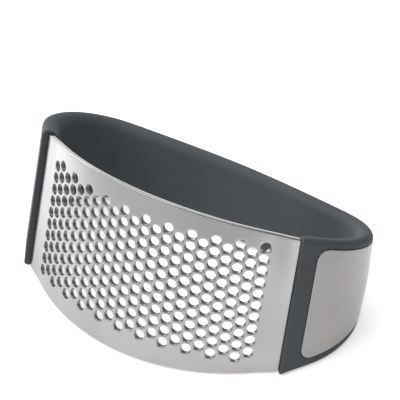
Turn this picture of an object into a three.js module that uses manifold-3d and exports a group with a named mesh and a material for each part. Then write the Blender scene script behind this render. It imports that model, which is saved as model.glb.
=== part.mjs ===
// Rocker garlic press: a closed loop that lies on its side. A curved, perforated steel
// press plate closes the front, a soft-covered nylon handle bends round the back, and a
// steel end plate is let into each end of the handle. Nothing moves on it.
//
// Units are millimetres. The loop is built about its own axis, Z: +X is along its
// length, +Y goes from the press plate to the grip. Both side rims lie in planes that
// lean towards each other at the back, so the last group turns the loop until its lower
// rim lies flat on the surface it stands on, with +Z up.

import * as THREE from "three";
import { mergeVertices } from "three/addons/utils/BufferGeometryUtils.js";
import Module from "manifold-3d";

const wasm = await Module();
wasm.setup();

// Hole pattern, which sets the scale of everything else
const ROW_PITCH = 4.0;
const COLUMN_PITCH = 3.7;
const HOLE_RADIUS = 1.55;
const COLUMNS = 22;
const HOLES_PER_COLUMN = 10;
const HOLE_SIDES = 8;

// Press plate, part of a cylinder whose axis is parallel to Z
const PLATE_RADIUS = 61.7;
const PLATE_HALF_ANGLE = THREE.MathUtils.degToRad(45.1);
const PLATE_HALF_HEIGHT = 27.2;
const SHEET = 1.2;
const LIP_DEPTH = 1.8;
const END_FACETS = 2;

// Side rims: half of the loop's height at y = 0, and how fast it falls towards the back
const HANDLE_HALF_HEIGHT = 28.1;
const SIDE_SLOPE = 0.259;

// Handle outline, seen along the loop's axis: right half, outer face
const JOINT_CORNER = new THREE.Vector2(45.8, 16.6);
const WIDEST = new THREE.Vector2(54.8, 39.7);
const REAR_CORNER = new THREE.Vector2(37.7, 60.2);
const BACK_MIDDLE = new THREE.Vector2(0, 64.3);
const HANDLE_STEPS = 72;

// Handle wall, measured inwards from the outer face
const WALL = 5.4;
const OUTER_SKIN = 1.1;
const INNER_SKIN = 1.0;
const RIM_SKIN = 1.8;
const JOINT_SKIN = 1.5;
const RIM_CHAMFER = 1.3;
const GAP = 0.3;

// End plates, measured along the outer face from the joint
const END_PLATE_START = 5.9;
const END_PLATE_END = 44.0;
const END_PLATE_INSET = 2.6;
const END_PLATE_CORNER = 4.2;
const END_PLATE_THICKNESS = 1.2;
const END_PLATE_PROUD = 0.1;
const END_PLATE_STEPS = 24;
const STUD_RADIUS = 1.2;
const STUD_LENGTH = 3.0;
const STUD_AT = 34.0;
const STUD_HALF_SPACING = 4.0;

// Tongues of the press plate inside the handle, and the rivets through them
const TONGUE_OVERLAP = 0.9;
const TONGUE_END = 26.0;
const TONGUE_INSET = 9.0;
const TONGUE_DEPTH = OUTER_SKIN + GAP;
const TONGUE_STEPS = 14;
const RIVET_AT = 14.0;
const RIVET_HALF_SPACING = 6.0;
const RIVET_HEAD_RADIUS = 2.0;
const RIVET_HEAD_HEIGHT = 0.8;
const RIVET_SHANK_RADIUS = 1.1;
const RIVET_TAIL_RADIUS = 1.8;
const RIVET_TAIL_HEIGHT = 0.4;

// Reach of the cutting solids past what they cut, and of the band past its joints
// before it is cut to length
const REACH = 12.0;
const OVERRUN = 6.0;
const SECTION_TOP = 24.0;
const ROUND_SIDES = 12;

const steel = new THREE.MeshStandardMaterial({ color: 0xc6c4c2, roughness: 0.35, metalness: 1.0 });
const endSteel = new THREE.MeshStandardMaterial({ color: 0xbdb9b7, roughness: 0.4, metalness: 1.0 });
const softGrip = new THREE.MeshStandardMaterial({ color: 0x4a4d50, roughness: 0.75, metalness: 0.0 });
const nylon = new THREE.MeshStandardMaterial({ color: 0x222325, roughness: 0.6, metalness: 0.0 });
const rivetSteel = new THREE.MeshStandardMaterial({ color: 0x9a9a9a, roughness: 0.4, metalness: 1.0 });

// ---- Booleans ----

// A closed three.js geometry as a solid. Its faces are turned round if they point in.
function solidOf(geometry) {
  const bare = geometry.clone();
  bare.deleteAttribute("normal");
  bare.deleteAttribute("uv");
  const merged = mergeVertices(bare, 1e-5);
  const vertProperties = new Float32Array(merged.attributes.position.array);
  const triVerts = new Uint32Array(merged.index.array);
  if (signedVolume(vertProperties, triVerts) < 0) {
    for (let i = 0; i < triVerts.length; i += 3) {
      [triVerts[i], triVerts[i + 1]] = [triVerts[i + 1], triVerts[i]];
    }
  }
  return new wasm.Manifold(new wasm.Mesh({ numProp: 3, vertProperties, triVerts }));
}

function signedVolume(positions, triangles) {
  const corners = [new THREE.Vector3(), new THREE.Vector3(), new THREE.Vector3()];
  let volume = 0;
  for (let i = 0; i < triangles.length; i += 3) {
    corners.forEach((corner, k) => corner.fromArray(positions, 3 * triangles[i + k]));
    volume += corners[0].dot(corners[1].clone().cross(corners[2])) / 6;
  }
  return volume;
}

function meshOf(name, solid, material) {
  const { vertProperties, triVerts } = solid.getMesh();
  const geometry = new THREE.BufferGeometry();
  geometry.setAttribute("position", new THREE.BufferAttribute(vertProperties, 3));
  geometry.setIndex(new THREE.BufferAttribute(triVerts, 1));
  geometry.computeVertexNormals();
  const mesh = new THREE.Mesh(geometry, material);
  mesh.name = name;
  return mesh;
}

// ---- Handle path ----

const flank = new THREE.CubicBezierCurve(
  JOINT_CORNER, new THREE.Vector2(49.9, 24.3), new THREE.Vector2(54.8, 28.7), WIDEST);
const rearBend = new THREE.CubicBezierCurve(
  WIDEST, new THREE.Vector2(54.8, 50.1), new THREE.Vector2(48.4, 58.5), REAR_CORNER);
const back = new THREE.CubicBezierCurve(
  REAR_CORNER, new THREE.Vector2(25.0, 62.3), new THREE.Vector2(11.8, 64.3), BACK_MIDDLE);
const halfPath = new THREE.CurvePath();
halfPath.add(flank);
halfPath.add(rearBend);
halfPath.add(back);
halfPath.arcLengthDivisions = 400;
const HALF_LENGTH = halfPath.getLength();

// Point and inward normal of the outer face, s along it from the right-hand joint.
// Past the back's middle it is the mirror image, and before the joint it runs straight.
function stationAt(s) {
  if (s > HALF_LENGTH) {
    const mirrored = stationAt(2 * HALF_LENGTH - s);
    mirrored.point.x *= -1;
    mirrored.inward.x *= -1;
    return mirrored;
  }
  const u = Math.max(s, 0) / HALF_LENGTH;
  const tangent = halfPath.getTangentAt(u);
  const point = halfPath.getPointAt(u).addScaledVector(tangent, Math.min(s, 0));
  return { point, inward: new THREE.Vector2(-tangent.y, tangent.x) };
}

// s of a feature on the right-hand (+1) or left-hand (-1) end of the handle
function onEnd(side, s) {
  return side > 0 ? s : 2 * HALF_LENGTH - s;
}

function halfHeightAt(y) {
  return HANDLE_HALF_HEIGHT - SIDE_SLOPE * y;
}

// Rectangle across the wall: depths from the outer face, and inset from the side rims
function wallSection(depthFrom, depthTo, inset) {
  const top = SECTION_TOP - inset;
  const section = new THREE.Shape();
  section.moveTo(depthFrom, -top);
  section.lineTo(depthTo, -top);
  section.lineTo(depthTo, top);
  section.lineTo(depthFrom, top);
  return section;
}

// The same for the whole wall, with its four edges broken
function rimmedSection(chamfer) {
  const top = SECTION_TOP;
  const section = new THREE.Shape();
  section.moveTo(chamfer, -top);
  section.lineTo(WALL - chamfer, -top);
  section.lineTo(WALL, chamfer - top);
  section.lineTo(WALL, top - chamfer);
  section.lineTo(WALL - chamfer, top);
  section.lineTo(chamfer, top);
  section.lineTo(0, top - chamfer);
  section.lineTo(0, chamfer - top);
  return section;
}

// A wall section carried along the handle. path(t) gives s for t from 0 to 1. A section
// height of SECTION_TOP stands for the side rim, so insets stay true as the rims close
// in. shift(s) moves the section deeper, and drop(s) lowers both of its ends.
function alongHandle(section, path, steps, { shift = () => 0, drop = () => 0 } = {}) {
  const geometry = new THREE.ExtrudeGeometry(section, { depth: 1, steps, bevelEnabled: false });
  const position = geometry.attributes.position;
  for (let i = 0; i < position.count; i += 1) {
    const s = path(position.getZ(i));
    const { point, inward } = stationAt(s);
    point.addScaledVector(inward, position.getX(i) + shift(s));
    const inset = SECTION_TOP - Math.abs(position.getY(i));
    const height = halfHeightAt(point.y) - inset - drop(s);
    position.setXYZ(i, point.x, point.y, Math.sign(position.getY(i)) * height);
  }
  return solidOf(geometry);
}

function evenly(from, to) {
  return (t) => THREE.MathUtils.lerp(from, to, t);
}

// Steps that bunch together at both ends, where corners are rounded
function bunched(from, to) {
  return (t) => THREE.MathUtils.lerp(from, to, (1 - Math.cos(Math.PI * t)) / 2);
}

// Rounds the corners of a piece between s = from and s = to, by lowering its edge there
function cornerDrop(from, to, radius) {
  return (s) => {
    const toEnd = Math.min(Math.abs(s - from), Math.abs(s - to), radius);
    return radius - Math.sqrt(radius ** 2 - (radius - toEnd) ** 2);
  };
}

// ---- Joint between plate and handle ----

const END_TANGENT = new THREE.Vector2(1, 1).normalize();

// Everything in front of the joint face, moved back by an offset, at one end
function jointCutter(side, offset) {
  const size = 2 * REACH;
  const box = new THREE.BoxGeometry(size, size, 4 * HANDLE_HALF_HEIGHT);
  box.rotateZ(Math.PI / 4);
  const centre = JOINT_CORNER.clone().addScaledVector(END_TANGENT, offset - size / 2);
  box.translate(centre.x, centre.y, 0);
  box.scale(side, 1, 1);
  return solidOf(box);
}

function cutAtJoints(solid, offset) {
  return solid.subtract(jointCutter(1, offset)).subtract(jointCutter(-1, offset));
}

const plateEnd = new THREE.Vector2(
  PLATE_RADIUS * Math.sin(PLATE_HALF_ANGLE),
  PLATE_RADIUS * (1 - Math.cos(PLATE_HALF_ANGLE)));

// Depth of a tongue's outer face: straight on from the plate until it is just under
// the end plate, then along the handle
function tongueDepth(s) {
  const fromJoint = Math.min(s, 2 * HALF_LENGTH - s);
  const { point, inward } = stationAt(0);
  const along = new THREE.Vector2(inward.y, -inward.x);
  const offset = plateEnd.clone().sub(point);
  const slope = END_TANGENT.dot(inward) / END_TANGENT.dot(along);
  return Math.max(offset.dot(inward) + slope * (fromJoint - offset.dot(along)), TONGUE_DEPTH);
}

function tongue(side, grow) {
  const { point, inward } = stationAt(0);
  const along = new THREE.Vector2(inward.y, -inward.x);
  const start = plateEnd.clone().sub(point).dot(along) - TONGUE_OVERLAP;
  const section = wallSection(-grow, SHEET + grow, TONGUE_INSET - grow);
  const path = evenly(onEnd(side, start), onEnd(side, TONGUE_END + grow));
  return alongHandle(section, path, TONGUE_STEPS, { shift: tongueDepth });
}

// ---- Parts set square to the handle's face ----

// Turns a solid that stands along +Y so that it points out of the handle at s, z
function squareToFace(geometry, side, s, z, depth) {
  const { point, inward } = stationAt(onEnd(side, s));
  const outward = new THREE.Vector3(-inward.x, -inward.y, 0);
  const turn = new THREE.Quaternion().setFromUnitVectors(new THREE.Vector3(0, 1, 0), outward);
  const place = new THREE.Vector3(point.x, point.y, z).addScaledVector(outward, -depth);
  return solidOf(geometry.applyQuaternion(turn).translate(place.x, place.y, place.z));
}

// Countersunk rivet standing along +Y, its head's face at y = 0. With grow above zero
// it is the hole for it, open at the head.
function rivetShape(grow) {
  const length = WALL - INNER_SKIN - GAP - TONGUE_DEPTH;
  const mouth = grow > 0 ? OUTER_SKIN : 0;
  const profile = [
    new THREE.Vector2(0, -length - grow),
    new THREE.Vector2(RIVET_TAIL_RADIUS + grow, -length - grow),
    new THREE.Vector2(RIVET_TAIL_RADIUS + grow, -length + RIVET_TAIL_HEIGHT + grow),
    new THREE.Vector2(RIVET_SHANK_RADIUS + grow, -length + RIVET_TAIL_HEIGHT + grow),
    new THREE.Vector2(RIVET_SHANK_RADIUS + grow, -RIVET_HEAD_HEIGHT),
    new THREE.Vector2(RIVET_HEAD_RADIUS + grow, 0),
  ];
  if (mouth > 0) {
    profile.push(new THREE.Vector2(RIVET_HEAD_RADIUS + grow, mouth));
  }
  profile.push(new THREE.Vector2(0, mouth));
  return new THREE.LatheGeometry(profile, ROUND_SIDES);
}

function rivet(side, level, grow) {
  return squareToFace(rivetShape(grow), side, RIVET_AT, level * RIVET_HALF_SPACING, TONGUE_DEPTH);
}

// Stud on the back of an end plate, rooted half way through it
function stud(side, level, grow) {
  const rootDepth = END_PLATE_THICKNESS / 2;
  const length = STUD_LENGTH + 2 * grow;
  const radius = STUD_RADIUS + grow;
  const pin = new THREE.CylinderGeometry(radius, radius, length, ROUND_SIDES);
  return squareToFace(pin, side, STUD_AT, level * STUD_HALF_SPACING, rootDepth + STUD_LENGTH / 2);
}

// ---- Press plate ----

// Wedge between two planes that lean like the side rims, at a given half height
function sideSlab(halfHeight) {
  const front = -REACH;
  const rear = PLATE_RADIUS;
  const side = new THREE.Shape();
  side.moveTo(front, -(halfHeight - SIDE_SLOPE * front));
  side.lineTo(rear, -(halfHeight - SIDE_SLOPE * rear));
  side.lineTo(rear, halfHeight - SIDE_SLOPE * rear);
  side.lineTo(front, halfHeight - SIDE_SLOPE * front);
  const width = 4 * PLATE_RADIUS;
  const geometry = new THREE.ExtrudeGeometry(side, { depth: width, bevelEnabled: false });
  geometry.translate(0, 0, -width / 2);
  geometry.rotateY(Math.PI / 2);
  geometry.rotateX(Math.PI / 2);
  return solidOf(geometry);
}

// Plate angles of the fold lines: one flat facet to each column of holes, so that every
// hole lies in one plane, and a few more facets to each end
function facetAngles(halfAngle) {
  const fieldHalfAngle = (COLUMNS / 2) * COLUMN_PITCH / PLATE_RADIUS;
  const angles = [];
  for (let i = 0; i < END_FACETS; i += 1) {
    angles.push(THREE.MathUtils.lerp(-halfAngle, -fieldHalfAngle, i / END_FACETS));
  }
  for (let column = 0; column <= COLUMNS; column += 1) {
    angles.push((column - COLUMNS / 2) * COLUMN_PITCH / PLATE_RADIUS);
  }
  for (let i = 1; i <= END_FACETS; i += 1) {
    angles.push(THREE.MathUtils.lerp(fieldHalfAngle, halfAngle, i / END_FACETS));
  }
  return angles;
}

function onPlate(radius, angle) {
  return new THREE.Vector2(radius * Math.sin(angle), PLATE_RADIUS - radius * Math.cos(angle));
}

function curvedBand(outerRadius, innerRadius, halfAngle) {
  const angles = facetAngles(halfAngle);
  const outer = angles.map((angle) => onPlate(outerRadius, angle));
  const inner = angles.map((angle) => onPlate(innerRadius, angle)).reverse();
  const height = 4 * PLATE_HALF_HEIGHT;
  const shape = new THREE.Shape([...outer, ...inner]);
  const geometry = new THREE.ExtrudeGeometry(shape, { depth: height, bevelEnabled: false });
  geometry.translate(0, 0, -height / 2);
  return solidOf(geometry);
}

// Heights of the holes in a column: every other column is half a pitch lower
function holeHeights(column) {
  const top = (HOLES_PER_COLUMN / 2 - (column % 2 === 0 ? 0.75 : 0.25)) * ROW_PITCH;
  return Array.from({ length: HOLES_PER_COLUMN }, (_, row) => top - row * ROW_PITCH);
}

function punches(column) {
  const angle = (column - (COLUMNS - 1) / 2) * COLUMN_PITCH / PLATE_RADIUS;
  const middle = onPlate(PLATE_RADIUS - SHEET / 2, angle);
  return holeHeights(column).map((z) => {
    const punch = new THREE.CylinderGeometry(HOLE_RADIUS, HOLE_RADIUS, 3 * SHEET, HOLE_SIDES);
    punch.rotateZ(angle);
    punch.translate(middle.x, middle.y, z);
    return solidOf(punch);
  });
}

// Curved sheet with its long edges turned in as lips, punched, with a tongue at each end
function pressPlate() {
  const pastEnd = PLATE_HALF_ANGLE * 1.1;
  let plate = curvedBand(PLATE_RADIUS, PLATE_RADIUS - LIP_DEPTH, PLATE_HALF_ANGLE);
  plate = plate.intersect(sideSlab(PLATE_HALF_HEIGHT));
  let hollow = curvedBand(PLATE_RADIUS - SHEET, PLATE_RADIUS - 2 * LIP_DEPTH, pastEnd);
  hollow = hollow.intersect(sideSlab(PLATE_HALF_HEIGHT - SHEET));
  plate = plate.subtract(hollow);
  for (let column = 0; column < COLUMNS; column += 1) {
    plate = punches(column).reduce((cut, punch) => cut.subtract(punch), plate);
  }
  for (const side of [1, -1]) {
    plate = plate.add(tongue(side, 0));
    plate = plate.subtract(rivet(side, 1, GAP)).subtract(rivet(side, -1, GAP));
  }
  return plate;
}

// ---- Handle and end plates ----

const wholeHandle = evenly(-OVERRUN, 2 * HALF_LENGTH + OVERRUN);

// Rigid nylon frame: a plain band with a recess for each tongue and bores for rivets
// and studs
function handleCore() {
  const section = wallSection(TONGUE_DEPTH, WALL - INNER_SKIN - GAP, RIM_SKIN + GAP);
  let core = alongHandle(section, wholeHandle, HANDLE_STEPS);
  core = cutAtJoints(core, JOINT_SKIN + GAP);
  for (const side of [1, -1]) {
    core = core.subtract(tongue(side, GAP));
    for (const level of [1, -1]) {
      core = core.subtract(rivet(side, level, GAP)).subtract(stud(side, level, GAP));
    }
  }
  return core;
}

function endPlateBody(side, grow, depthFrom, depthTo) {
  const from = onEnd(side, END_PLATE_START - grow);
  const to = onEnd(side, END_PLATE_END + grow);
  const section = wallSection(depthFrom, depthTo, END_PLATE_INSET - grow);
  const drop = cornerDrop(from, to, END_PLATE_CORNER + grow);
  return alongHandle(section, bunched(from, to), END_PLATE_STEPS, { drop });
}

function endPlate(side) {
  const body = endPlateBody(side, 0, -END_PLATE_PROUD, END_PLATE_THICKNESS - END_PLATE_PROUD);
  return body.add(stud(side, 1, 0)).add(stud(side, -1, 0));
}

// Soft cover, moulded all round the core, with a window for each end plate and a slot
// for each tongue
function gripCover() {
  const outside = alongHandle(rimmedSection(RIM_CHAMFER), wholeHandle, HANDLE_STEPS);
  const hollow = wallSection(OUTER_SKIN, WALL - INNER_SKIN, RIM_SKIN);
  const inside = alongHandle(hollow, wholeHandle, HANDLE_STEPS);
  let cover = cutAtJoints(outside, 0).subtract(cutAtJoints(inside, JOINT_SKIN));
  for (const side of [1, -1]) {
    cover = cover.subtract(endPlateBody(side, GAP, -WALL, OUTER_SKIN + GAP / 2));
    cover = cover.subtract(tongue(side, GAP));
  }
  return cover;
}

// ---- Assembly ----

const loop = new THREE.Group();
loop.add(meshOf("press_plate", pressPlate(), steel));
loop.add(meshOf("handle_core", handleCore(), nylon));
loop.add(meshOf("grip_cover", gripCover(), softGrip));
for (const [side, sideName] of [[1, "right"], [-1, "left"]]) {
  loop.add(meshOf(`${sideName}_end_plate`, endPlate(side), endSteel));
  for (const [level, levelName] of [[1, "upper"], [-1, "lower"]]) {
    loop.add(meshOf(`${sideName}_${levelName}_rivet`, rivet(side, level, 0), rivetSteel));
  }
}

// Lay the loop on its lower rim, with the origin under the middle of its box
loop.rotation.x = -Math.atan(SIDE_SLOPE);
loop.updateMatrixWorld(true);
const box = new THREE.Box3().setFromObject(loop, true);
loop.position.set(-(box.min.x + box.max.x) / 2, -(box.min.y + box.max.y) / 2, -box.min.z);

const part = new THREE.Group();
part.add(loop);

export default part;
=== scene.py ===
"""Looks of a rocker garlic press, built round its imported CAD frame.

A curved, perforated steel press plate closes the front of a soft-covered handle loop,
and a steel end plate is let into each end of the handle.

Shapes are worked out in millimetres in the loop's own frame: Z is the loop's axis, +X is
along its length and +Y goes from the press plate to the grip. The loop leans back until
its lower rim lies flat, and from_loop() turns it into the CAD frame, in metres. Grain,
floor, lights and camera are given in metres.
"""

import math

import bmesh
import bpy
import numpy as np
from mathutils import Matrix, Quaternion, Vector


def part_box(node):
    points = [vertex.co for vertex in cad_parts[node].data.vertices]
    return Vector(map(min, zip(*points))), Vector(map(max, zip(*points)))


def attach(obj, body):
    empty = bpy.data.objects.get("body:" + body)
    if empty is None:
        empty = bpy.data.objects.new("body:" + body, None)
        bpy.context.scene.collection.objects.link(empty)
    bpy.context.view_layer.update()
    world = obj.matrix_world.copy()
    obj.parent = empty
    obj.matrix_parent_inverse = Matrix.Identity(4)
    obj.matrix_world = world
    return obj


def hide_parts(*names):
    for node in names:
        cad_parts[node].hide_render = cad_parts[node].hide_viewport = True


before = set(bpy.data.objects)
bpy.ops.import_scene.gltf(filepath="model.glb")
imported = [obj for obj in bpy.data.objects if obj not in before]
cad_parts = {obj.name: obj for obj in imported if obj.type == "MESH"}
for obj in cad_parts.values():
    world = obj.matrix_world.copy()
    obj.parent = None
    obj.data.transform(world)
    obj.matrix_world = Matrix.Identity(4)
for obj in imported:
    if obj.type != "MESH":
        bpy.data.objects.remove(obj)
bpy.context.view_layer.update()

MILLIMETRE = 0.001

# ---- The loop and how it leans. The slope is how fast each rim closes in, front to back ----

SIDE_SLOPE = 0.259
HANDLE_HALF_HEIGHT = 28.1
PLATE_HALF_HEIGHT = 27.2
LEAN = math.atan(SIDE_SLOPE)
PLATE_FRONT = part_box("press_plate")[0].y / MILLIMETRE

# ---- Handle wall. Its outline is three cubic curves, from the joint to mid back ----

WALL = 5.4
RIM_ROUND = 1.7
INNER_ROUND = 3.3
JOINT_ROUND = 0.4
RIM_LEVEL = 24.0
TRUE_INSET = 8.0
OUTLINE = (
    ((45.8, 16.6), (49.9, 24.3), (54.8, 28.7), (54.8, 39.7)),
    ((54.8, 39.7), (54.8, 50.1), (48.4, 58.5), (37.7, 60.2)),
    ((37.7, 60.2), (25.0, 62.3), (11.8, 64.3), (0.0, 64.3)),
)
JOINT_OPENING = (WALL / 2, 2.0, 1.2, JOINT_ROUND)
SLANT_LENGTH = 14.0

# ---- Crown: how far the outer face swells at mid height, and where along it ----

CROWN = 0.5
CROWN_START = 6.0
CROWN_FULL = 22.0

# ---- End plates and the windows they sit in ----

END_PLATE_START = 5.9
END_PLATE_END = 44.0
END_PLATE_INSET = 2.6
END_PLATE_LOWER_INSET = 3.3
END_PLATE_CORNER = 4.2
END_PLATE_THICKNESS = 1.2
END_PLATE_PROUD = 0.15
END_PLATE_ROUND = 0.3
WINDOW_GAP = 0.12
WINDOW_ROUND = 0.15
WINDOW_DEPTH = 1.25
WINDOW_MARGIN = 1.1
WINDOW_CORNER_SPAN = 6.3

# ---- Press plate ----

PLATE_RADIUS = 61.7
PLATE_HALF_ANGLE = math.radians(45.1)
PLATE_HALF_WIDTH = PLATE_RADIUS * PLATE_HALF_ANGLE
SHEET = 1.2
LIP_DEPTH = 1.8
BEND_ROUND = 0.5
EDGE_ROUND = 0.15
LOWER_REACH = 0.35
ROW_PITCH = 4.0
COLUMN_PITCH = 3.7
HOLE_RADIUS = 1.62
HOLE_EDGE = 0.12
COLUMNS = 22
HOLES_PER_COLUMN = 10
FIELD_HALF_HEIGHT = (HOLES_PER_COLUMN / 2 + 0.25) * ROW_PITCH
FIELD_HALF_WIDTH = COLUMNS / 2 * COLUMN_PITCH
FIELD_NARROWING = 0.08
FLARE = 0.8
TONGUE_INSET = 9.0
TONGUE_END = 26.0
TONGUE_DEPTH = 1.4
TONGUE_OVERLAP = 0.9
TONGUE_TUCK = 0.15

# ---- How finely the grids are divided ----

OUTLINE_SAMPLES = 600
RIM_ROWS = 9
MIDDLE_ROWS = 15
CORNER_POINTS = 8
LAND_POINTS = 2
JOINT_ROUND_POINTS = 5
RINGS_BEFORE_WINDOW = (1.6, 2.8)
RINGS_AFTER_WINDOW = 44
WINDOW_CORNER_LINES = 7
WINDOW_MIDDLE_LINES = 24
CELL_STEPS = 4
FIELD_ROWS = int(2 * FIELD_HALF_HEIGHT * CELL_STEPS / ROW_PITCH)
SIDE_STEPS = 8
MARGIN_STEPS = 4
BEND_POINTS = 6
TONGUE_STEPS = 16

# ---- Joining patches: how close points weld, slivers go, and edges shade as sharp ----

WELD_DISTANCE = 0.01
SLIVER_WIDTH = 0.002
SHARP_ANGLE = math.radians(50.0)

# ---- Punched hole walls: rougher, and darker with painted shade ----

# The bore colour is painted shade inside the holes; the roughness is the punched wall's own
BORE_SHADE_COLOUR = (0.34, 0.334, 0.331)
BORE_ROUGHNESS = 0.38

# ---- Camera, its angles in degrees ----

VIEW_AZIMUTH = 31.52
VIEW_ELEVATION = 41.24
VIEW_ROLL = 0.75
VIEW_DISTANCE = 1.2907
VIEW_AIM = Vector((0.00918, -0.00583, 0.0432))
VIEW_LENS = 392.7
SENSOR = 36.0

# ---- Lights: name, place, size and power in watts ----

LIGHT_AIM = (0.0, 0.0, 0.03)
LIGHTS = (
    ("front_light", (-1.2, -0.9, 1.6), (2.4, 1.9), 33.0),
    ("left_light", (-1.2, 0.4, 0.5), (1.6, 0.9), 12.0),
    ("top_light", (0.0, 0.15, 1.2), (0.9, 0.9), 5.5),
)
WORLD_STRENGTH = 0.27

# ---- Floor and its glow: each pool's centre, radii between which it fades, and strength ----

FLOOR_HALF_SIZE = 3.0
FLOOR_COLOUR = (0.9, 0.9, 0.9)
GLOW_POOLS = (
    ((-0.016, 0.036, 0.0), (0.09, 0.24), 0.5),
    ((0.13, -0.07, 0.0), (0.01, 0.065), 0.7),
    ((-0.12, -0.01, 0.0), (0.01, 0.075), 0.8),
)


# ---- Frame ----


def from_loop(points):
    """Points in the loop's frame, in millimetres, as points in the CAD frame, in metres.

    The loop is turned back by its lean about X, then moved so that the front edge of the
    press plate and the lower rim land where the CAD has them.
    """
    x, y, z = points[..., 0], points[..., 1], points[..., 2]
    cos, sin = math.cos(LEAN), math.sin(LEAN)
    shift_y = PLATE_FRONT + PLATE_HALF_HEIGHT * sin
    shift_z = HANDLE_HALF_HEIGHT * cos
    turned = (x, y * cos + z * sin + shift_y, -y * sin + z * cos + shift_z)
    return np.stack(turned, axis=-1) * MILLIMETRE


# ---- Patches: a list of (points, faces) that are joined and welded into one piece ----


def grid_patch(points, closed=False, keep=None):
    """Quads over a grid of points. A closed grid joins its last column to its first.

    keep(row, column) says which quads stay, as an array of true and false.
    """
    rows, columns = points.shape[:2]
    index = np.arange(rows * columns).reshape(rows, columns)
    right = np.roll(index, -1, axis=1)
    span = columns if closed else columns - 1
    quads = np.stack(
        (index[:-1, :span], index[1:, :span], right[1:, :span], right[:-1, :span]), axis=-1
    )
    if keep is not None:
        row, column = np.indices(quads.shape[:2])
        quads = quads[keep(row, column)]
    return points.reshape(-1, 3), quads.reshape(-1, 4).tolist()


def mirrored(patch):
    """The same patch on the other end of the loop: x changes sign, faces turn round."""
    points, faces = patch
    return points * np.array((-1.0, 1.0, 1.0)), [face[::-1] for face in faces]


def build_piece(name, patches, material, nodes):
    """Joins patches into one closed mesh that stands for the given CAD nodes.

    Points closer than the weld distance are merged, so that seams close, and every face
    is turned outwards. Normals are weighted by face area, so flats stay flat and only the
    rounded edges between them shade as round. A patch's third item, where it has one, is
    a mark for each face: one in a hole's bore, nought elsewhere.
    """
    vertices = []
    faces = []
    in_bore = []
    for points, patch_faces, *bore_mark in patches:
        start = len(vertices)
        vertices.extend(from_loop(points).tolist())
        faces.extend([[start + corner for corner in face] for face in patch_faces])
        in_bore.extend(bore_mark[0] if bore_mark else [0.0] * len(patch_faces))
    mesh = bpy.data.meshes.new(name)
    mesh.from_pydata(vertices, [], faces)
    mesh.attributes.new("bore", "FLOAT", "FACE").data.foreach_set("value", in_bore)
    shell = bmesh.new()
    shell.from_mesh(mesh)
    bmesh.ops.remove_doubles(shell, verts=shell.verts, dist=WELD_DISTANCE * MILLIMETRE)
    bmesh.ops.dissolve_degenerate(shell, edges=shell.edges, dist=SLIVER_WIDTH * MILLIMETRE)
    bmesh.ops.recalc_face_normals(shell, faces=shell.faces)
    shell.to_mesh(mesh)
    shell.free()
    mesh.polygons.foreach_set("use_smooth", np.ones(len(mesh.polygons), dtype=bool))
    mesh.set_sharp_from_angle(angle=SHARP_ANGLE)
    piece = bpy.data.objects.new(name, mesh)
    bpy.context.scene.collection.objects.link(piece)
    weighting = piece.modifiers.new("flats_stay_flat", "WEIGHTED_NORMAL")
    weighting.keep_sharp = True
    mesh.materials.append(material)
    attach(piece, "root")
    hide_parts(*nodes)


# ---- Handle surface ----


def ease(part):
    """Smooth rise from nought to one: the square of part times three less twice part."""
    return part**2 * (3.0 - 2.0 * part)


def outline_table():
    """Arc length, points and unit tangents along the right half of the handle's outline.

    Each span is a cubic curve on four corners, sampled finely and joined end to end.
    """
    t = np.linspace(0.0, 1.0, OUTLINE_SAMPLES)[:, None]
    points = []
    tangents = []
    for span in np.array(OUTLINE):
        a, b, c, d = span
        points.append(
            (1 - t) ** 3 * a + 3 * t * (1 - t) ** 2 * b + 3 * t**2 * (1 - t) * c + t**3 * d
        )
        tangents.append(
            3 * (1 - t) ** 2 * (b - a) + 6 * t * (1 - t) * (c - b) + 3 * t**2 * (d - c)
        )
    points = np.concatenate(points)
    tangents = np.concatenate(tangents)
    tangents /= np.linalg.norm(tangents, axis=1, keepdims=True)
    steps = np.linalg.norm(np.diff(points, axis=0), axis=1)
    lengths = np.concatenate(([0.0], np.cumsum(steps)))
    return lengths, points, tangents


OUTLINE_LENGTHS, OUTLINE_POINTS, OUTLINE_TANGENTS = outline_table()
HALF_LENGTH = OUTLINE_LENGTHS[-1]

# The way the press plate runs into the handle, square to the joint face.
END_DIRECTION = np.array((1.0, 1.0)) / math.sqrt(2.0)


def station(s):
    """Point and inward normal of the handle's outer face at arc length s from the joint."""
    inside = np.clip(s, 0.0, HALF_LENGTH)
    point = np.stack(
        [np.interp(inside, OUTLINE_LENGTHS, OUTLINE_POINTS[:, k]) for k in (0, 1)], axis=-1
    )
    tangent = np.stack(
        [np.interp(inside, OUTLINE_LENGTHS, OUTLINE_TANGENTS[:, k]) for k in (0, 1)], axis=-1
    )
    tangent /= np.linalg.norm(tangent, axis=-1, keepdims=True)
    point = point + tangent * np.minimum(s, 0.0)[..., None]
    inward = np.stack((-tangent[..., 1], tangent[..., 0]), axis=-1)
    return point, inward


def joint_axes():
    """Point of the outer face at the joint, and the directions along it and inwards."""
    point, inward = station(np.zeros(1))
    along = np.array((inward[0, 1], -inward[0, 0]))
    return point[0], along, inward[0]


def crown(s, level):
    """Swell of the outer face: none at the joint and the rims, most at mid height.

    Along the handle it rises smoothly from CROWN_START to CROWN_FULL. Across it, it falls
    off with the square of the level.
    """
    rise = np.clip((s - CROWN_START) / (CROWN_FULL - CROWN_START), 0.0, 1.0)
    across = 1.0 - (np.clip(np.abs(level), 0.0, RIM_LEVEL) / RIM_LEVEL) ** 2
    return CROWN * ease(rise) * across


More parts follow.
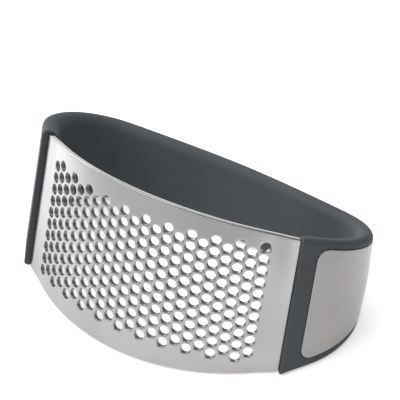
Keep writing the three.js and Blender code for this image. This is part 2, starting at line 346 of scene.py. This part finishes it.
def on_handle(s, depth, level):
    """Point of the handle wall: s along the outer face, depth under it, level across it.

    Level runs from -RIM_LEVEL to +RIM_LEVEL, its values at the two side rims. Down to
    TRUE_INSET from a rim it is a true distance, and between those it is stretched to fit,
    because the rims close in towards the back. The crown fades out through the wall.
    """
    s, depth, level = np.broadcast_arrays(s, depth, level)
    point, inward = station(s)
    point = point + inward * (depth - crown(s, level) * (1.0 - depth / WALL))[..., None]
    half_height = HANDLE_HALF_HEIGHT - SIDE_SLOPE * point[..., 1]
    inset = RIM_LEVEL - np.abs(level)
    near_rim = np.sign(level) * (half_height - inset)
    between = level / (RIM_LEVEL - TRUE_INSET) * (half_height - TRUE_INSET)
    height = np.where(inset <= TRUE_INSET, near_rim, between)
    return np.concatenate((point, height[..., None]), axis=-1)


def face_levels():
    """Levels of the grid rows on the wall's flat faces, closer together near the rims."""
    edge = RIM_LEVEL - RIM_ROUND
    inner = RIM_LEVEL - TRUE_INSET
    near = np.linspace(inner, edge, RIM_ROWS)
    middle = np.linspace(-inner, inner, MIDDLE_ROWS)[1:-1]
    return np.concatenate((-near[::-1], middle, near))


LEVELS = face_levels()


def wall_section(shrink):
    """Closed line round the handle wall, as depths and levels, offset inwards by shrink.

    It is a rectangle of the wall's thickness with four rounded corners, larger inside
    than outside. Shrinking it keeps the corners' centres, so their radius falls until
    they are sharp.
    """
    outer = max(RIM_ROUND, shrink)
    inner = min(max(INNER_ROUND, shrink), WALL - outer)
    turn = np.linspace(0.0, math.pi / 2, CORNER_POINTS)
    back = turn[::-1]
    land = np.linspace(outer, WALL - inner, LAND_POINTS + 2)[1:-1]
    outer_depth = outer - (outer - shrink) * np.cos(turn)
    outer_inset = outer - (outer - shrink) * np.sin(turn)
    inner_depth = WALL - inner + (inner - shrink) * np.cos(back)
    inner_inset = inner - (inner - shrink) * np.sin(back)
    rim_depth = np.concatenate((outer_depth, land, inner_depth))
    rim_inset = np.concatenate((outer_inset, np.full(LAND_POINTS, shrink), inner_inset))
    reach = RIM_LEVEL - shrink
    flat = np.clip(LEVELS[1:-1], -reach, reach)
    inner_flat = LEVELS[1:-1] * (RIM_LEVEL - inner) / LEVELS[-1]
    depth = np.concatenate(
        (np.full(flat.size, shrink), rim_depth, np.full(flat.size, WALL - shrink), rim_depth[::-1])
    )
    rim_level = RIM_LEVEL - rim_inset
    level = np.concatenate((flat, rim_level, inner_flat[::-1], -rim_level[::-1]))
    return depth, level


# ---- Window outline: a rounded rectangle inside a rectangle of grid lines ----

START_LINE = END_PLATE_START - WINDOW_MARGIN
END_LINE = END_PLATE_END + WINDOW_MARGIN


def window_columns():
    """s of the grid lines across the window, closer together at its two ends."""
    left = START_LINE + WINDOW_CORNER_SPAN
    right = END_LINE - WINDOW_CORNER_SPAN
    return np.concatenate(
        (
            np.linspace(START_LINE, left, WINDOW_CORNER_LINES, endpoint=False),
            np.linspace(left, right, WINDOW_MIDDLE_LINES, endpoint=False),
            np.linspace(right, END_LINE, WINDOW_CORNER_LINES + 1),
        )
    )


WINDOW_COLUMNS = window_columns()


def window_frame():
    """The grid lines' own rectangle round the window, walked once round, as (s, level)."""
    s, level = WINDOW_COLUMNS, LEVELS
    lower = np.stack((s[:-1], np.full(s.size - 1, level[0])), axis=-1)
    far = np.stack((np.full(level.size - 1, s[-1]), level[:-1]), axis=-1)
    upper = np.stack((s[:0:-1], np.full(s.size - 1, level[-1])), axis=-1)
    near = np.stack((np.full(level.size - 1, s[0]), level[:0:-1]), axis=-1)
    return np.concatenate((lower, far, upper, near))


def rounded_outline(grow):
    """The end plate's outline grown by grow, one point for each point of the frame.

    Each frame point is pulled in to the nearest point of the rectangle of corner centres,
    then pushed back out by the corner radius.
    """
    outer = window_frame()
    lowest = END_PLATE_LOWER_INSET + END_PLATE_CORNER - RIM_LEVEL
    highest = RIM_LEVEL - END_PLATE_INSET - END_PLATE_CORNER
    low = np.array((END_PLATE_START + END_PLATE_CORNER, lowest))
    high = np.array((END_PLATE_END - END_PLATE_CORNER, highest))
    centre = np.clip(outer, low, high)
    away = outer - centre
    away /= np.linalg.norm(away, axis=1, keepdims=True)
    return centre + away * (END_PLATE_CORNER + grow)


def filled(outline):
    """Grid that fills a closed outline: a Coons patch between its four sides.

    It is the sum of the two ruled surfaces between opposite sides, less the one that is
    stretched between the four corners.
    """
    across, up = WINDOW_COLUMNS.size - 1, LEVELS.size - 1
    lower = outline[: across + 1]
    far = outline[across : across + up + 1]
    upper = outline[across + up : 2 * across + up + 1][::-1]
    near = np.concatenate((outline[2 * across + up :], outline[:1]))[::-1]
    u = np.linspace(0.0, 1.0, across + 1)[:, None, None]
    v = np.linspace(0.0, 1.0, up + 1)[None, :, None]
    ruled = (1 - v) * lower[:, None] + v * upper[:, None]
    ruled = ruled + (1 - u) * near[None, :] + u * far[None, :]
    corners = (1 - u) * (1 - v) * lower[0] + u * (1 - v) * lower[-1]
    corners = corners + (1 - u) * v * upper[0] + u * v * upper[-1]
    return ruled - corners


def ring_band(rings):
    """Closed bands between rings, each an outline in (s, level) at its own depth."""
    points = [on_handle(ring[:, 0], depth, ring[:, 1]) for ring, depth in rings]
    return grid_patch(np.stack(points), closed=True)


def filled_face(outline, depth):
    """The inside of an outline in (s, level), filled at one depth under the outer face."""
    area = filled(outline)
    return grid_patch(on_handle(area[..., 0], depth, area[..., 1]))


# ---- Soft grip cover ----


def cover_rings():
    """Arc length, shrink and slant of each ring of the cover, from its joint face back.

    First the flat end face opens from its middle line, by the shrinks in JOINT_OPENING,
    then its edge is rounded over by a quarter circle, then the full section runs on to the
    middle of the back. Slant falls from one to nought over SLANT_LENGTH, which turns the
    rings from the joint face's angle to square across the handle.
    """
    turn = np.linspace(0.0, math.pi / 2, JOINT_ROUND_POINTS)[1:]
    opening_s = np.zeros(len(JOINT_OPENING))
    edge_s = JOINT_ROUND * (1 - np.cos(turn))
    after = np.linspace(END_LINE, HALF_LENGTH, RINGS_AFTER_WINDOW + 1)[1:]
    s = np.concatenate((opening_s, edge_s, RINGS_BEFORE_WINDOW, WINDOW_COLUMNS, after))
    narrowed = np.concatenate((JOINT_OPENING, JOINT_ROUND * (1 - np.sin(turn))))
    shrink = np.concatenate((narrowed, np.zeros(s.size - narrowed.size)))
    slant = 1.0 - ease(np.clip(s / SLANT_LENGTH, 0.0, 1.0))
    return s, shrink, slant


def grip_cover_patches():
    """The wall section carried along the right half, with a window let into it."""
    s, shrink, slant = cover_rings()
    along, inward = joint_axes()[1:]
    shear = -(inward @ END_DIRECTION) / (along @ END_DIRECTION)
    rings = []
    for ring_s, ring_shrink, ring_slant in zip(s, shrink, slant):
        depth, level = wall_section(ring_shrink)
        rings.append(on_handle(ring_s + shear * ring_slant * depth, depth, level))
    first = int(np.argmin(np.abs(s - START_LINE)))
    last = first + WINDOW_COLUMNS.size - 1
    flats = LEVELS.size - 2
    section_size = len(rings[0])

    def outside_window(ring, place):
        on_face = (place < flats) | (place == section_size - 1)
        return ~((ring >= first) & (ring < last) & on_face)

    wall = grid_patch(np.stack(rings), closed=True, keep=outside_window)
    gap = rounded_outline(WINDOW_GAP)
    window = ring_band(
        (
            (window_frame(), 0.0),
            (rounded_outline(WINDOW_GAP + WINDOW_ROUND), 0.0),
            (gap, WINDOW_ROUND),
            (gap, WINDOW_DEPTH),
        )
    )
    floor = filled_face(gap, WINDOW_DEPTH)
    right = [wall, window, floor]
    return right + [mirrored(patch) for patch in right]


# ---- End plates ----


def end_plate_patches(side):
    """Sheet bent to the handle's outer face, with rounded corners and a rounded edge.

    Side is 1 for the right end of the handle and -1 for the left.
    """
    top = -END_PLATE_PROUD
    bottom = END_PLATE_THICKNESS - END_PLATE_PROUD
    middle = END_PLATE_ROUND * (1 - math.sqrt(0.5))
    face_line = rounded_outline(-END_PLATE_ROUND)
    edge_line = rounded_outline(0.0)
    edge = ring_band(
        (
            (face_line, top),
            (rounded_outline(-middle), top + middle),
            (edge_line, top + END_PLATE_ROUND),
            (edge_line, bottom),
        )
    )
    patches = [filled_face(face_line, top), edge, filled_face(edge_line, bottom)]
    return patches if side > 0 else [mirrored(patch) for patch in patches]


# ---- Press plate ----


def past_field(u):
    """Part of the way from the last column of holes to the plate's end, nought to one."""
    margin = PLATE_HALF_WIDTH - FIELD_HALF_WIDTH
    return np.clip((np.abs(u) - FIELD_HALF_WIDTH) / margin, 0.0, 1.0)


def flare(u):
    """How far the sheet swings outwards past the last column of holes, towards its ends."""
    return FLARE * ease(past_field(u))


def on_sheet(u, v, depth):
    """Point of the press plate: u along its outer face, v along Z, depth under the face.

    The face is part of a cylinder about Z, whose radius grows by the flare.
    """
    u, v, depth = np.broadcast_arrays(u, v, depth)
    radius = PLATE_RADIUS + flare(u) - depth
    angle = u / PLATE_RADIUS
    return np.stack(
        (radius * np.sin(angle), PLATE_RADIUS - radius * np.cos(angle), v), axis=-1
    )


def sheet_edge(u, depth):
    """Height of the plate's leaning long edge: it falls by the side slope, front to back."""
    rise = PLATE_RADIUS - (PLATE_RADIUS + flare(u) - depth) * np.cos(u / PLATE_RADIUS)
    return PLATE_HALF_HEIGHT - SIDE_SLOPE * rise


def sheet_columns():
    """u of the grid lines: even steps to each end, and one step per quarter of a cell."""
    side = np.linspace(FIELD_HALF_WIDTH, PLATE_HALF_WIDTH, SIDE_STEPS + 1)
    field = np.linspace(-FIELD_HALF_WIDTH, FIELD_HALF_WIDTH, COLUMNS * CELL_STEPS + 1)
    return np.concatenate((-side[:0:-1], field, side[1:]))


def lip_profile():
    """Depth and inset of the turned-in lip, from the outer bend to the inner corner."""
    turn = np.linspace(0.0, math.pi / 2, BEND_POINTS)
    bend_depth = BEND_ROUND * (1 - np.cos(turn))
    bend_inset = BEND_ROUND * (1 - np.sin(turn))
    depth = np.concatenate((bend_depth, (LIP_DEPTH - EDGE_ROUND, LIP_DEPTH, LIP_DEPTH, SHEET)))
    inset = np.concatenate((bend_inset, (0.0, EDGE_ROUND, SHEET, SHEET)))
    return depth, inset


def sheet_section(u):
    """Closed line round the plate at one u, as heights and depths.

    Up the outer face, over the upper lip, down the inner face and round the lower lip.
    The side margins' rows close in a little, to stay inside the leaning edges. The lower
    edge reaches LOWER_REACH further than the upper one.
    """
    field_top = FIELD_HALF_HEIGHT * (1 - FIELD_NARROWING * past_field(u))
    rows = np.linspace(-field_top, field_top, FIELD_ROWS + 1)
    lip_depth, lip_inset = lip_profile()
    lip = sheet_edge(u, lip_depth) - lip_inset
    outer_top = np.linspace(field_top, lip[0], MARGIN_STEPS + 1)[1:-1]
    inner_top = np.linspace(field_top, lip[-1], MARGIN_STEPS + 1)[1:-1]
    stretch = (lip[0] + LOWER_REACH - field_top) / (lip[0] - field_top)
    outer_low = -field_top - (outer_top - field_top) * stretch
    inner_low = -field_top - (inner_top - field_top) * stretch
    outer = np.concatenate((outer_low[::-1], rows, outer_top))
    inner = np.concatenate((inner_low[::-1], rows, inner_top))
    height = np.concatenate((outer, lip, inner[::-1], -LOWER_REACH - lip[::-1]))
    depth = np.concatenate(
        (np.zeros(outer.size), lip_depth, np.full(inner.size, SHEET), lip_depth[::-1])
    )
    return height, depth


def end_cap(first, height_count, lip_count):
    """Faces that close the section at one end of the plate: a strip and two lips.

    The section's points start at first, with height_count up the outer face, lip_count round
    the upper lip, height_count down the inner face and lip_count round the lower lip.
    """
    outer = np.arange(height_count)
    inner = height_count + lip_count + np.arange(height_count)[::-1]
    strip = np.stack((outer[:-1], outer[1:], inner[1:], inner[:-1]), axis=-1) + first
    total = 2 * (height_count + lip_count)
    upper = [height_count - 1] + list(range(height_count, height_count + lip_count + 1))
    lower = [2 * height_count + lip_count - 1]
    lower += list(range(2 * height_count + lip_count, total)) + [0]
    return strip.tolist() + [[first + k for k in upper], [first + k for k in lower]]


def hole_centres():
    """Centres of all the holes. Every other column is half a pitch lower."""
    column = np.repeat(np.arange(COLUMNS), HOLES_PER_COLUMN)
    row = np.tile(np.arange(HOLES_PER_COLUMN), COLUMNS)
    top = HOLES_PER_COLUMN / 2 - np.where(column % 2 == 0, 0.75, 0.25)
    return (column - (COLUMNS - 1) / 2) * COLUMN_PITCH, (top - row) * ROW_PITCH


def cell_ring():
    """Edge of a square from -1 to 1, each side in CELL_STEPS, and a circle to match it.

    The circle has one point for each of the square's, at even angles from the same corner.
    """
    step = 2.0 / CELL_STEPS
    side = np.arange(-1.0, 1.0, step)
    ones = np.ones(side.size)
    square = np.concatenate(
        (
            np.stack((ones, side), axis=-1),
            np.stack((-side, ones), axis=-1),
            np.stack((-ones, -side), axis=-1),
            np.stack((side, -ones), axis=-1),
        )
    )
    turn = -math.pi / 4 + np.arange(len(square)) * 2 * math.pi / len(square)
    return square, np.stack((np.cos(turn), np.sin(turn)), axis=-1)


def hole_cells():
    """All the holes at once: cell edge, rounded brink, bore, and cell edge again.

    The deepest band of faces is the bore. It is marked with one, for the steel's rougher
    punched wall and for the painted shade that darkens it.
    """
    square, circle = cell_ring()
    half = np.array((COLUMN_PITCH, ROW_PITCH)) / 2
    rings = np.stack(
        (
            square * half,
            circle * (HOLE_RADIUS + HOLE_EDGE),
            circle * HOLE_RADIUS,
            circle * HOLE_RADIUS,
            square * half,
        )
    )
    depths = np.array((0.0, 0.0, HOLE_EDGE, SHEET, SHEET))
    centre_u, centre_v = hole_centres()
    u = centre_u[:, None, None] + rings[None, :, :, 0]
    v = centre_v[:, None, None] + rings[None, :, :, 1]
    points = on_sheet(u, v, depths[None, :, None])
    index = np.arange(u.size).reshape(u.shape)
    turned = np.roll(index, -1, axis=2)
    quads = np.stack((index[:, :-1], index[:, 1:], turned[:, 1:], turned[:, :-1]), axis=-1)
    bore_mark = np.zeros(quads.shape[:3])
    bore_mark[:, np.diff(depths).argmax()] = 1.0
    return points.reshape(-1, 3), quads.reshape(-1, 4).tolist(), bore_mark.ravel().tolist()


def half_cells():
    """Plain half cells on both faces, where a column starts or ends half a pitch in."""
    patches = []
    step_u = COLUMN_PITCH / CELL_STEPS
    step_v = ROW_PITCH / CELL_STEPS
    for column in range(COLUMNS):
        left = column * COLUMN_PITCH - FIELD_HALF_WIDTH
        bottom = FIELD_HALF_HEIGHT - ROW_PITCH / 2 if column % 2 == 0 else -FIELD_HALF_HEIGHT
        u = (left + step_u * np.arange(CELL_STEPS + 1))[:, None]
        v = (bottom + step_v * np.arange(CELL_STEPS // 2 + 1))[None, :]
        for depth in (0.0, SHEET):
            patches.append(grid_patch(on_sheet(u, v, depth)))
    return patches


def tongue_patch():
    """Flat tongue that runs from the plate's end on into the handle, as a closed strip.

    Its depth under the handle's face goes in a straight line from the plate's flared end
    to the tongue's own depth, and stays there. It is tucked a little under both faces of
    the plate where they overlap.
    """
    end_radius = PLATE_RADIUS + FLARE
    end = np.array(
        (
            end_radius * math.sin(PLATE_HALF_ANGLE),
            PLATE_RADIUS - end_radius * math.cos(PLATE_HALF_ANGLE),
        )
    )
    point, along, inward = joint_axes()
    offset = end - point
    slope = (END_DIRECTION @ inward) / (END_DIRECTION @ along)
    s = np.linspace(offset @ along - TONGUE_OVERLAP, TONGUE_END, TONGUE_STEPS)
    depth = np.maximum(offset @ inward + slope * (s - offset @ along), TONGUE_DEPTH)
    reach = RIM_LEVEL - TONGUE_INSET
    top, bottom = TONGUE_TUCK, SHEET - TONGUE_TUCK
    corners = np.array(((top, -reach), (top, reach), (bottom, reach), (bottom, -reach)))
    rings = on_handle(s[:, None], depth[:, None] + corners[None, :, 0], corners[None, :, 1])
    points, faces = grid_patch(rings, closed=True)
    last = 4 * (TONGUE_STEPS - 1)
    end_faces = [[3, 2, 1, 0], [last, last + 1, last + 2, last + 3]]
    return points, faces + end_faces


def press_plate_patches():
    """The section carried along the sheet, with hole cells in its field and two tongues."""
    columns = sheet_columns()
    sections = [sheet_section(u) for u in columns]
    points = np.stack([on_sheet(u, *section) for u, section in zip(columns, sections)])
    size = points.shape[1]
    lip_count = lip_profile()[0].size
    face_count = size // 2 - lip_count
    margin = MARGIN_STEPS - 1

    def outside_field(column, row):
        in_columns = (column >= SIDE_STEPS) & (column < SIDE_STEPS + COLUMNS * CELL_STEPS)
        outer = (row >= margin) & (row < margin + FIELD_ROWS)
        start = face_count + lip_count + margin
        inner = (row >= start) & (row < start + FIELD_ROWS)
        return ~(in_columns & (outer | inner))

    sheet_points, sheet_faces = grid_patch(points, closed=True, keep=outside_field)
    last = (len(columns) - 1) * size
    caps = end_cap(0, face_count, lip_count)
    caps += [face[::-1] for face in end_cap(last, face_count, lip_count)]
    tongue = tongue_patch()
    whole = (sheet_points, sheet_faces + caps)
    return [whole, hole_cells(), *half_cells(), tongue, mirrored(tongue)]


# ---- Materials. Grain and stretch are in metres, and a noise scale is per metre ----


class Finish:
    """A material with a principled shader, and short calls that add nodes to it."""

    def __init__(self, name, metallic, colour, roughness):
        self.material = bpy.data.materials.new(name)
        self.material.use_nodes = True
        self.nodes = self.material.node_tree.nodes
        self.links = self.material.node_tree.links
        self.shader = self.nodes["Principled BSDF"]
        self.shader.inputs["Metallic"].default_value = metallic
        self.shader.inputs["Base Color"].default_value = (*colour, 1.0)
        self.shader.inputs["Roughness"].default_value = roughness

    def link(self, source, target):
        self.links.new(source, target)

    def place(self, scale=(1.0, 1.0, 1.0), rotation=(0.0, 0.0, 0.0)):
        """Object coordinates, turned and then stretched."""
        coordinates = self.nodes.new("ShaderNodeTexCoord")
        mapping = self.nodes.new("ShaderNodeMapping")
        mapping.vector_type = "TEXTURE"
        mapping.inputs["Rotation"].default_value = rotation
        mapping.inputs["Scale"].default_value = scale
        self.link(coordinates.outputs["Object"], mapping.inputs["Vector"])
        return mapping.outputs["Vector"]

    def noise(self, vector, scale, detail, roughness):
        """Noise from nought to one at a place."""
        texture = self.nodes.new("ShaderNodeTexNoise")
        texture.inputs["Scale"].default_value = scale
        texture.inputs["Detail"].default_value = detail
        texture.inputs["Roughness"].default_value = roughness
        self.link(vector, texture.inputs["Vector"])
        return texture.outputs["Fac"]

    def spread(self, value, low, high, source=(0.3, 0.7)):
        """Maps a value's source range to low and high."""
        span = self.nodes.new("ShaderNodeMapRange")
        span.inputs["From Min"].default_value = source[0]
        span.inputs["From Max"].default_value = source[1]
        span.inputs["To Min"].default_value = low
        span.inputs["To Max"].default_value = high
        self.link(value, span.inputs["Value"])
        return span.outputs["Result"]

    def shade(self, value, first, second):
        """Colour between first and second by a value. First may be another node's output."""
        mix = self.nodes.new("ShaderNodeMix")
        mix.data_type = "RGBA"
        if isinstance(first, tuple):
            mix.inputs["A"].default_value = (*first, 1.0)
        else:
            self.link(first, mix.inputs["A"])
        mix.inputs["B"].default_value = (*second, 1.0)
        self.link(value, mix.inputs["Factor"])
        return mix.outputs["Result"]

    def tint(self, value, dark, light):
        """Base colour between dark and light by a value from nought to one."""
        self.link(self.shade(value, dark, light), self.shader.inputs["Base Color"])

    def blend(self, value, first, second):
        """Number between first, another node's output, and second by a value."""
        mix = self.nodes.new("ShaderNodeMix")
        self.link(first, mix.inputs["A"])
        mix.inputs["B"].default_value = second
        self.link(value, mix.inputs["Factor"])
        return mix.outputs["Result"]

    def total(self, first, second):
        """Sum of two values."""
        add = self.nodes.new("ShaderNodeMath")
        self.link(first, add.inputs[0])
        self.link(second, add.inputs[1])
        return add.outputs["Value"]

    def bump(self, height, distance, strength):
        """Normal raised by a height from nought to one, over distance."""
        node = self.nodes.new("ShaderNodeBump")
        node.inputs["Distance"].default_value = distance
        node.inputs["Strength"].default_value = strength
        self.link(height, node.inputs["Height"])
        return node.outputs["Normal"]


def brushed_steel(name, dark, light, roughness, grain_stretch):
    """Satin steel. Long thin streaks of noise vary its roughness and surface.

    Slow clouds vary its colour, and marked bores are rougher, and darker with painted shade.
    """
    finish = Finish(name, 1.0, light, roughness)
    along_loop = finish.place(grain_stretch, rotation=(LEAN, 0.0, 0.0))
    streaks = finish.noise(along_loop, scale=1.0, detail=2.0, roughness=0.5)
    clouds = finish.noise(finish.place(), scale=60.0, detail=2.0, roughness=0.5)
    bore = finish.nodes.new("ShaderNodeAttribute")
    bore.attribute_name = "bore"
    polished = finish.shade(finish.spread(clouds, low=0.0, high=1.0), dark, light)
    # Bores take a darker colour: painted shade inside the holes.
    finish.link(
        finish.shade(bore.outputs["Fac"], polished, BORE_SHADE_COLOUR),
        finish.shader.inputs["Base Color"],
    )
    rough = finish.spread(streaks, low=roughness - 0.03, high=roughness + 0.04)
    rough = finish.blend(bore.outputs["Fac"], rough, BORE_ROUGHNESS)
    finish.link(rough, finish.shader.inputs["Roughness"])
    normal = finish.bump(streaks, distance=0.00002, strength=0.07)
    finish.link(normal, finish.shader.inputs["Normal"])
    return finish.material


def soft_touch(name, dark, light, roughness):
    """Soft moulded cover: a fine even grain, slow cloudy wear, and a dull sheen."""
    finish = Finish(name, 0.0, light, roughness)
    grain = finish.noise(finish.place(), scale=3200.0, detail=2.0, roughness=0.6)
    clouds = finish.noise(finish.place(), scale=45.0, detail=3.0, roughness=0.5)
    finish.tint(finish.spread(clouds, low=0.0, high=1.0), dark, light)
    rough = finish.spread(clouds, low=roughness - 0.05, high=roughness + 0.05)
    finish.link(rough, finish.shader.inputs["Roughness"])
    finish.shader.inputs["Specular IOR Level"].default_value = 0.2
    normal = finish.bump(grain, distance=0.00004, strength=0.5)
    finish.link(normal, finish.shader.inputs["Normal"])
    return finish.material


def moulded_nylon(name, dark, light, roughness):
    """Glass-filled nylon: short flow streaks along the wall and a coarse matt grain."""
    finish = Finish(name, 0.0, light, roughness)
    along_wall = finish.place((0.012, 0.003, 0.003))
    flow = finish.noise(along_wall, scale=1.0, detail=3.0, roughness=0.6)
    grain = finish.noise(finish.place(), scale=2200.0, detail=2.0, roughness=0.5)
    finish.tint(finish.spread(flow, low=0.0, high=1.0), dark, light)
    rough = finish.spread(grain, low=roughness - 0.08, high=roughness + 0.08)
    finish.link(rough, finish.shader.inputs["Roughness"])
    normal = finish.bump(grain, distance=0.00005, strength=0.5)
    finish.link(normal, finish.shader.inputs["Normal"])
    return finish.material


plate_steel = brushed_steel(
    "plate_steel", (0.345, 0.341, 0.339), (0.39, 0.385, 0.383), 0.22, (0.0004, 0.0004, 0.012)
)
# The end plates are the press plate's steel, with painted shade in a darker base colour.
end_steel = brushed_steel(
    "end_steel", (0.275, 0.265, 0.263), (0.30, 0.289, 0.287), 0.27, (0.0003, 0.0003, 0.008)
)
soft_grip = soft_touch("soft_grip", (0.067, 0.074, 0.082), (0.078, 0.086, 0.095), 0.72)
core_nylon = moulded_nylon("core_nylon", (0.012, 0.012, 0.013), (0.02, 0.02, 0.022), 0.5)
rivet_steel = brushed_steel(
    "rivet_steel", (0.45, 0.45, 0.45), (0.55, 0.55, 0.55), 0.35, (0.0002, 0.0002, 0.0002)
)

# ---- Pieces ----

build_piece(
    "fine_press_plate", press_plate_patches(), plate_steel, ["press_plate"]
)
build_piece("fine_grip_cover", grip_cover_patches(), soft_grip, ["grip_cover"])
build_piece(
    "fine_right_end_plate", end_plate_patches(1), end_steel, ["right_end_plate"]
)
build_piece(
    "fine_left_end_plate", end_plate_patches(-1), end_steel, ["left_end_plate"]
)

hidden_finishes = {
    "handle_core": core_nylon,
    "right_upper_rivet": rivet_steel,
    "right_lower_rivet": rivet_steel,
    "left_upper_rivet": rivet_steel,
    "left_lower_rivet": rivet_steel,
}
for node_name, finish_material in hidden_finishes.items():
    node_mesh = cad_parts[node_name].data
    node_mesh.materials.clear()
    node_mesh.materials.append(finish_material)

# ---- Floor, light and camera ----


def studio_floor():
    """Wide pale floor, level with the lower rim, that glows a little in soft pools.

    Each pool's glow falls in a straight line with the distance from its centre, from its
    full strength at the smaller radius to nought at the larger.
    """
    size = FLOOR_HALF_SIZE
    corners = [(-size, -size, 0), (size, -size, 0), (size, size, 0), (-size, size, 0)]
    mesh = bpy.data.meshes.new("studio_floor")
    mesh.from_pydata(corners, [], [(0, 1, 2, 3)])
    finish = Finish("floor_paper", metallic=0.0, colour=FLOOR_COLOUR, roughness=0.9)
    finish.shader.inputs["Emission Color"].default_value = (1.0, 1.0, 1.0, 1.0)
    place = finish.place()
    glow = None
    for centre, radii, strength in GLOW_POOLS:
        distance = finish.nodes.new("ShaderNodeVectorMath")
        distance.operation = "DISTANCE"
        distance.inputs[1].default_value = centre
        finish.link(place, distance.inputs[0])
        pool = finish.spread(distance.outputs["Value"], strength, 0.0, source=radii)
        glow = pool if glow is None else finish.total(glow, pool)
    finish.link(glow, finish.shader.inputs["Emission Strength"])
    mesh.materials.append(finish.material)
    floor = bpy.data.objects.new("studio_floor", mesh)
    bpy.context.scene.collection.objects.link(floor)


def soft_light(name, place, size, power):
    """White area light at place, a rectangle of this size turned towards the object."""
    lamp = bpy.data.lights.new(name, "AREA")
    lamp.shape = "RECTANGLE"
    lamp.size, lamp.size_y = size
    lamp.energy = power
    holder = bpy.data.objects.new(name, lamp)
    holder.location = place
    holder.rotation_mode = "QUATERNION"
    holder.rotation_quaternion = (Vector(LIGHT_AIM) - Vector(place)).to_track_quat("-Z", "Y")
    bpy.context.scene.collection.objects.link(holder)


def studio_world():
    """Even white light from all round."""
    world = bpy.data.worlds.new("studio_world")
    world.use_nodes = True
    background = world.node_tree.nodes["Background"]
    background.inputs["Color"].default_value = (1.0, 1.0, 1.0, 1.0)
    background.inputs["Strength"].default_value = WORLD_STRENGTH
    bpy.context.scene.world = world


def studio_camera():
    """Camera that looks at VIEW_AIM from its azimuth and elevation, rolled a little."""
    azimuth = math.radians(VIEW_AZIMUTH)
    elevation = math.radians(VIEW_ELEVATION)
    back = Vector(
        (
            math.sin(azimuth) * math.cos(elevation),
            -math.cos(azimuth) * math.cos(elevation),
            math.sin(elevation),
        )
    )
    lens = bpy.data.cameras.new("studio_camera")
    lens.lens = VIEW_LENS
    lens.sensor_width = SENSOR
    camera = bpy.data.objects.new("studio_camera", lens)
    camera.location = VIEW_AIM + back * VIEW_DISTANCE
    camera.rotation_mode = "QUATERNION"
    level = (-back).to_track_quat("-Z", "Y")
    camera.rotation_quaternion = Quaternion(back, math.radians(VIEW_ROLL)) @ level
    bpy.context.scene.collection.objects.link(camera)
    bpy.context.scene.camera = camera


studio_floor()
for light in LIGHTS:
    soft_light(*light)
studio_world()
studio_camera()
bpy.context.scene.view_settings.view_transform = "Standard"
